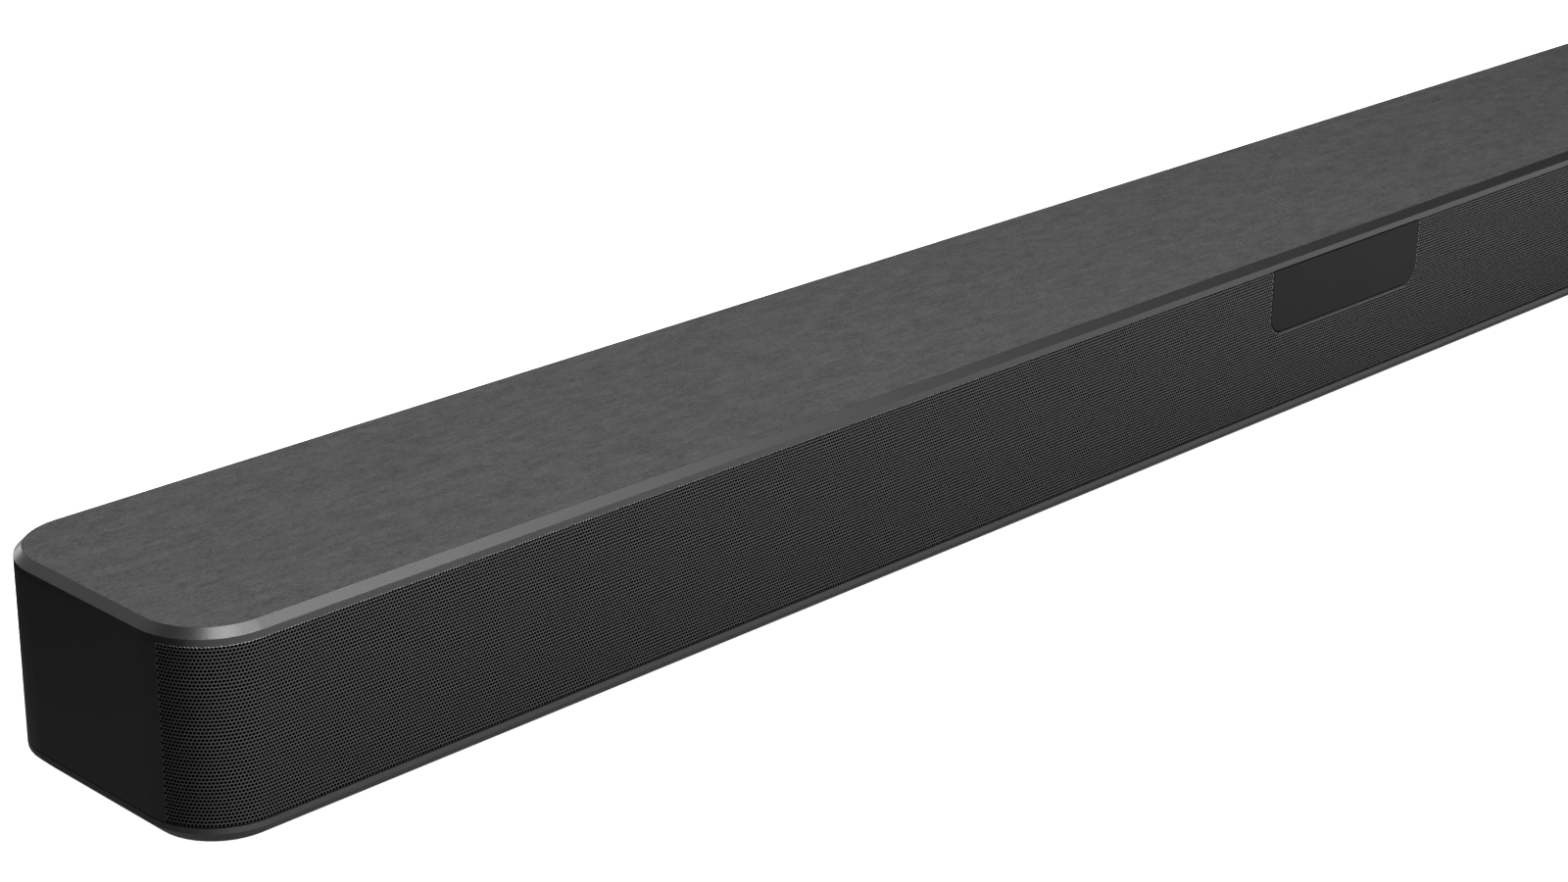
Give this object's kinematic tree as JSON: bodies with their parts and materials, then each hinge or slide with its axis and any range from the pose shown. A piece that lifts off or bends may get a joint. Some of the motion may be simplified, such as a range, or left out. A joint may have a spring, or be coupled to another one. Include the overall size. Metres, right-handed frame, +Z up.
{
  "type": "soundbar",
  "caption": "Low, long loudspeaker bar with a perforated steel front, smoked display window, top buttons and a rear socket bay, for use under a television.",
  "frame": {"origin": "centre of the bar on the surface that its feet stand on", "axes": "+X along the bar to the listener's right, -Y out of the front grille, +Z up"},
  "size_m": [0.89, 0.085, 0.0573],
  "materials": {
    "cover_plastic": "fine satin moulding",
    "textile_sheet": "fine woven look",
    "grille_steel": "satin powder coat",
    "black_cloth": "thin woven cloth",
    "frame_plastic": "moulded",
    "smoked_window": "smoked, polished",
    "foot_rubber": "matte",
    "brass": "turned",
    "screw_steel": "black zinc",
    "box_plastic": "moulded",
    "circuit_board": "solder mask",
    "component": "moulded",
    "heatsink_aluminium": "extruded",
    "shield_steel": "tinned",
    "socket_plastic": "moulded",
    "foam": "open cell foam",
    "display_block": "potted",
    "flat_cable": "laminated",
    "lead_jacket": "smooth",
    "button_plastic": "fine satin moulding",
    "switch_body": "moulded",
    "basket_steel": "pressed, powder coated",
    "cone_paper": "pressed paper pulp",
    "surround_rubber": "matte",
    "spider_cloth": "resin-dipped cloth",
    "yoke_steel": "zinc",
    "magnet": "nickel",
    "coil_aluminium": "copper on aluminium former",
    "dome_silk": "coated silk"
  },
  "bodies": {
    "casing": {"top_cover": "cover_plastic", "top_inlay": "textile_sheet", "bottom_cover": "cover_plastic", "rear_cover": "cover_plastic", "front_grille": "grille_steel", "grille_cloth": "black_cloth", "grille_frame": "frame_plastic", "rubber_feet": "foot_rubber", "wall_mount_inserts": "brass", "case_screws": "screw_steel", "display_window": "smoked_window", "display_gasket": "foam", "display_module": "display_block", "display_board": "circuit_board", "ir_receiver": "socket_plastic", "display_ribbon": "flat_cable", "button_board": "circuit_board", "tact_switches": "switch_body", "button_ribbon": "flat_cable", "main_board": "circuit_board", "board_components": "component", "board_screws": "screw_steel", "amplifier_heatsink": "heatsink_aluminium", "radio_module": "shield_steel", "video_sockets": "shield_steel", "data_socket": "shield_steel", "optical_socket": "socket_plastic", "power_socket": "socket_plastic", "speaker_screws": "screw_steel", "woofer_basket_left": "basket_steel", "woofer_basket_right": "basket_steel", "woofer_surround_left": "surround_rubber", "woofer_surround_right": "surround_rubber", "woofer_spider_left": "spider_cloth", "woofer_spider_right": "spider_cloth", "woofer_yoke_left": "yoke_steel", "woofer_yoke_right": "yoke_steel", "woofer_magnet_left": "magnet", "woofer_magnet_right": "magnet", "tweeter_plate_left": "frame_plastic", "tweeter_plate_right": "frame_plastic", "tweeter_magnet_left": "magnet", "tweeter_magnet_right": "magnet", "speaker_box_left": "box_plastic", "speaker_box_right": "box_plastic", "box_lid_left": "box_plastic", "box_lid_right": "box_plastic", "speaker_leads_left": "lead_jacket", "speaker_leads_right": "lead_jacket"},
    "woofer_left": {"woofer_cone_left": "cone_paper", "voice_coil_left": "coil_aluminium"},
    "tweeter_left": {"tweeter_dome_left": "dome_silk"},
    "woofer_right": {"woofer_cone_right": "cone_paper", "voice_coil_right": "coil_aluminium"},
    "tweeter_right": {"tweeter_dome_right": "dome_silk"},
    "power_button": {"power_button": "button_plastic"},
    "input_button": {"input_button": "button_plastic"},
    "volume_down_button": {"volume_down_button": "button_plastic"},
    "volume_up_button": {"volume_up_button": "button_plastic"},
    "optical_shutter": {"optical_shutter": "socket_plastic"}
  },
  "joints": [
    {"name": "woofer_travel_left", "type": "slide", "parent": "casing", "child": "woofer_left", "axis": [0, -1, 0], "range_m": [-0.0025, 0.0025], "stiffness_N_per_m": 900, "deforming": ["woofer_surround_left", "woofer_spider_left"]},
    {"name": "tweeter_travel_left", "type": "slide", "parent": "casing", "child": "tweeter_left", "axis": [0, -1, 0], "range_m": [-0.00025, 0.00025], "stiffness_N_per_m": 1500},
    {"name": "woofer_travel_right", "type": "slide", "parent": "casing", "child": "woofer_right", "axis": [0, -1, 0], "range_m": [-0.0025, 0.0025], "stiffness_N_per_m": 900, "deforming": ["woofer_surround_right", "woofer_spider_right"]},
    {"name": "tweeter_travel_right", "type": "slide", "parent": "casing", "child": "tweeter_right", "axis": [0, -1, 0], "range_m": [-0.00025, 0.00025], "stiffness_N_per_m": 1500},
    {"name": "power_button_press", "type": "slide", "parent": "casing", "child": "power_button", "axis": [0, 0, -1], "range_m": [0, 0.0005], "stiffness_N_per_m": 1200, "springref_m": -0.0003},
    {"name": "input_button_press", "type": "slide", "parent": "casing", "child": "input_button", "axis": [0, 0, -1], "range_m": [0, 0.0005], "stiffness_N_per_m": 1200, "springref_m": -0.0003},
    {"name": "volume_down_button_press", "type": "slide", "parent": "casing", "child": "volume_down_button", "axis": [0, 0, -1], "range_m": [0, 0.0005], "stiffness_N_per_m": 1200, "springref_m": -0.0003},
    {"name": "volume_up_button_press", "type": "slide", "parent": "casing", "child": "volume_up_button", "axis": [0, 0, -1], "range_m": [0, 0.0005], "stiffness_N_per_m": 1200, "springref_m": -0.0003},
    {"name": "shutter_swing", "type": "hinge", "parent": "casing", "child": "optical_shutter", "pos_m": [-0.024, 0.0227, 0.0214], "axis": [-1, 0, 0], "range_deg": [0, 80], "stiffness_Nm_per_rad": 0.002, "springref_deg": -20.05}
  ]
}
